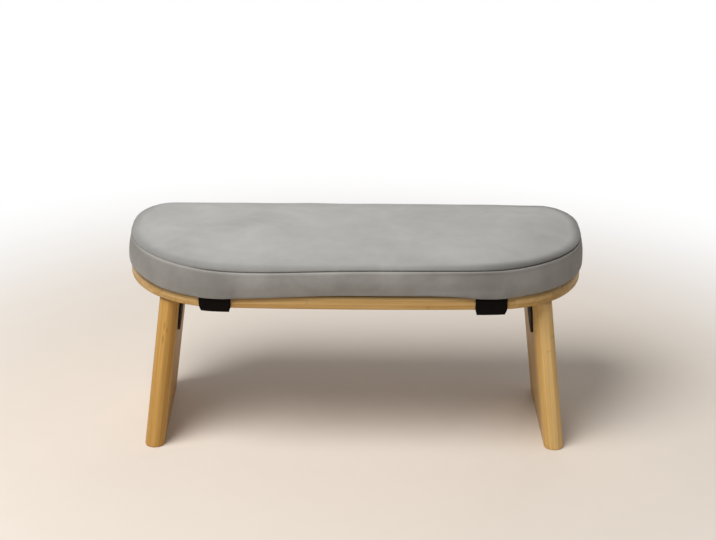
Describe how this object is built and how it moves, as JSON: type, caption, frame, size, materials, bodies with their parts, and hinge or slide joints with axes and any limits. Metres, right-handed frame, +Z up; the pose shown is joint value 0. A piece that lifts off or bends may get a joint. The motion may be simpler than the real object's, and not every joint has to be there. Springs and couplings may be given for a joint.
{
  "type": "folding meditation bench",
  "caption": "Low kneeling bench: bamboo half-moon seat board on splayed slab legs that fold flat underneath, with a grey velvet boxed cushion held by elastic bands.",
  "frame": {"origin": "on the floor under the middle of the seat, midway between the legs", "axes": "+X along the seat, +Y from the front edge to the back edge, +Z up"},
  "size_m": [0.476, 0.198, 0.2165],
  "materials": {
    "bamboo": "clear satin lacquer over laminated bamboo strips",
    "black_steel": "satin black paint",
    "black_screw": "satin black",
    "velvet": "light grey velvet with a short soft nap",
    "base_cloth": "plain woven lining",
    "foam": "open-cell foam",
    "elastic": "ribbed woven elastic"
  },
  "bodies": {
    "seat": {"seat_board": "bamboo", "hinge_left_front_seat_leaf": "black_steel", "hinge_left_front_seat_screw_1": "black_screw", "hinge_left_front_seat_screw_2": "black_screw", "hinge_left_front_seat_screw_3": "black_screw", "hinge_left_front_pin": "black_steel", "hinge_left_rear_seat_leaf": "black_steel", "hinge_left_rear_seat_screw_1": "black_screw", "hinge_left_rear_seat_screw_2": "black_screw", "hinge_left_rear_seat_screw_3": "black_screw", "hinge_left_rear_pin": "black_steel", "hinge_right_front_seat_leaf": "black_steel", "hinge_right_front_seat_screw_1": "black_screw", "hinge_right_front_seat_screw_2": "black_screw", "hinge_right_front_seat_screw_3": "black_screw", "hinge_right_front_pin": "black_steel", "hinge_right_rear_seat_leaf": "black_steel", "hinge_right_rear_seat_screw_1": "black_screw", "hinge_right_rear_seat_screw_2": "black_screw", "hinge_right_rear_seat_screw_3": "black_screw", "hinge_right_rear_pin": "black_steel", "cushion_base_panel": "base_cloth", "cushion_foam": "foam", "cushion_side_band": "velvet", "cushion_top_panel": "velvet", "strap_left": "elastic", "strap_right": "elastic"},
    "left_leg": {"leg_left": "bamboo", "hinge_left_front_leg_leaf": "black_steel", "hinge_left_front_leg_screw_1": "black_screw", "hinge_left_front_leg_screw_2": "black_screw", "hinge_left_front_leg_screw_3": "black_screw", "hinge_left_rear_leg_leaf": "black_steel", "hinge_left_rear_leg_screw_1": "black_screw", "hinge_left_rear_leg_screw_2": "black_screw", "hinge_left_rear_leg_screw_3": "black_screw"},
    "right_leg": {"leg_right": "bamboo", "hinge_right_front_leg_leaf": "black_steel", "hinge_right_front_leg_screw_1": "black_screw", "hinge_right_front_leg_screw_2": "black_screw", "hinge_right_front_leg_screw_3": "black_screw", "hinge_right_rear_leg_leaf": "black_steel", "hinge_right_rear_leg_screw_1": "black_screw", "hinge_right_rear_leg_screw_2": "black_screw", "hinge_right_rear_leg_screw_3": "black_screw"}
  },
  "joints": [
    {"name": "left_leg_fold", "type": "hinge", "parent": "seat", "child": "left_leg", "pos_m": [-0.17313, 0.007, 0.16295], "axis": [0, -1, 0], "range_deg": [0, 97]},
    {"name": "right_leg_fold", "type": "hinge", "parent": "seat", "child": "right_leg", "pos_m": [0.17313, 0.007, 0.16295], "axis": [0, 1, 0], "range_deg": [0, 97]}
  ]
}
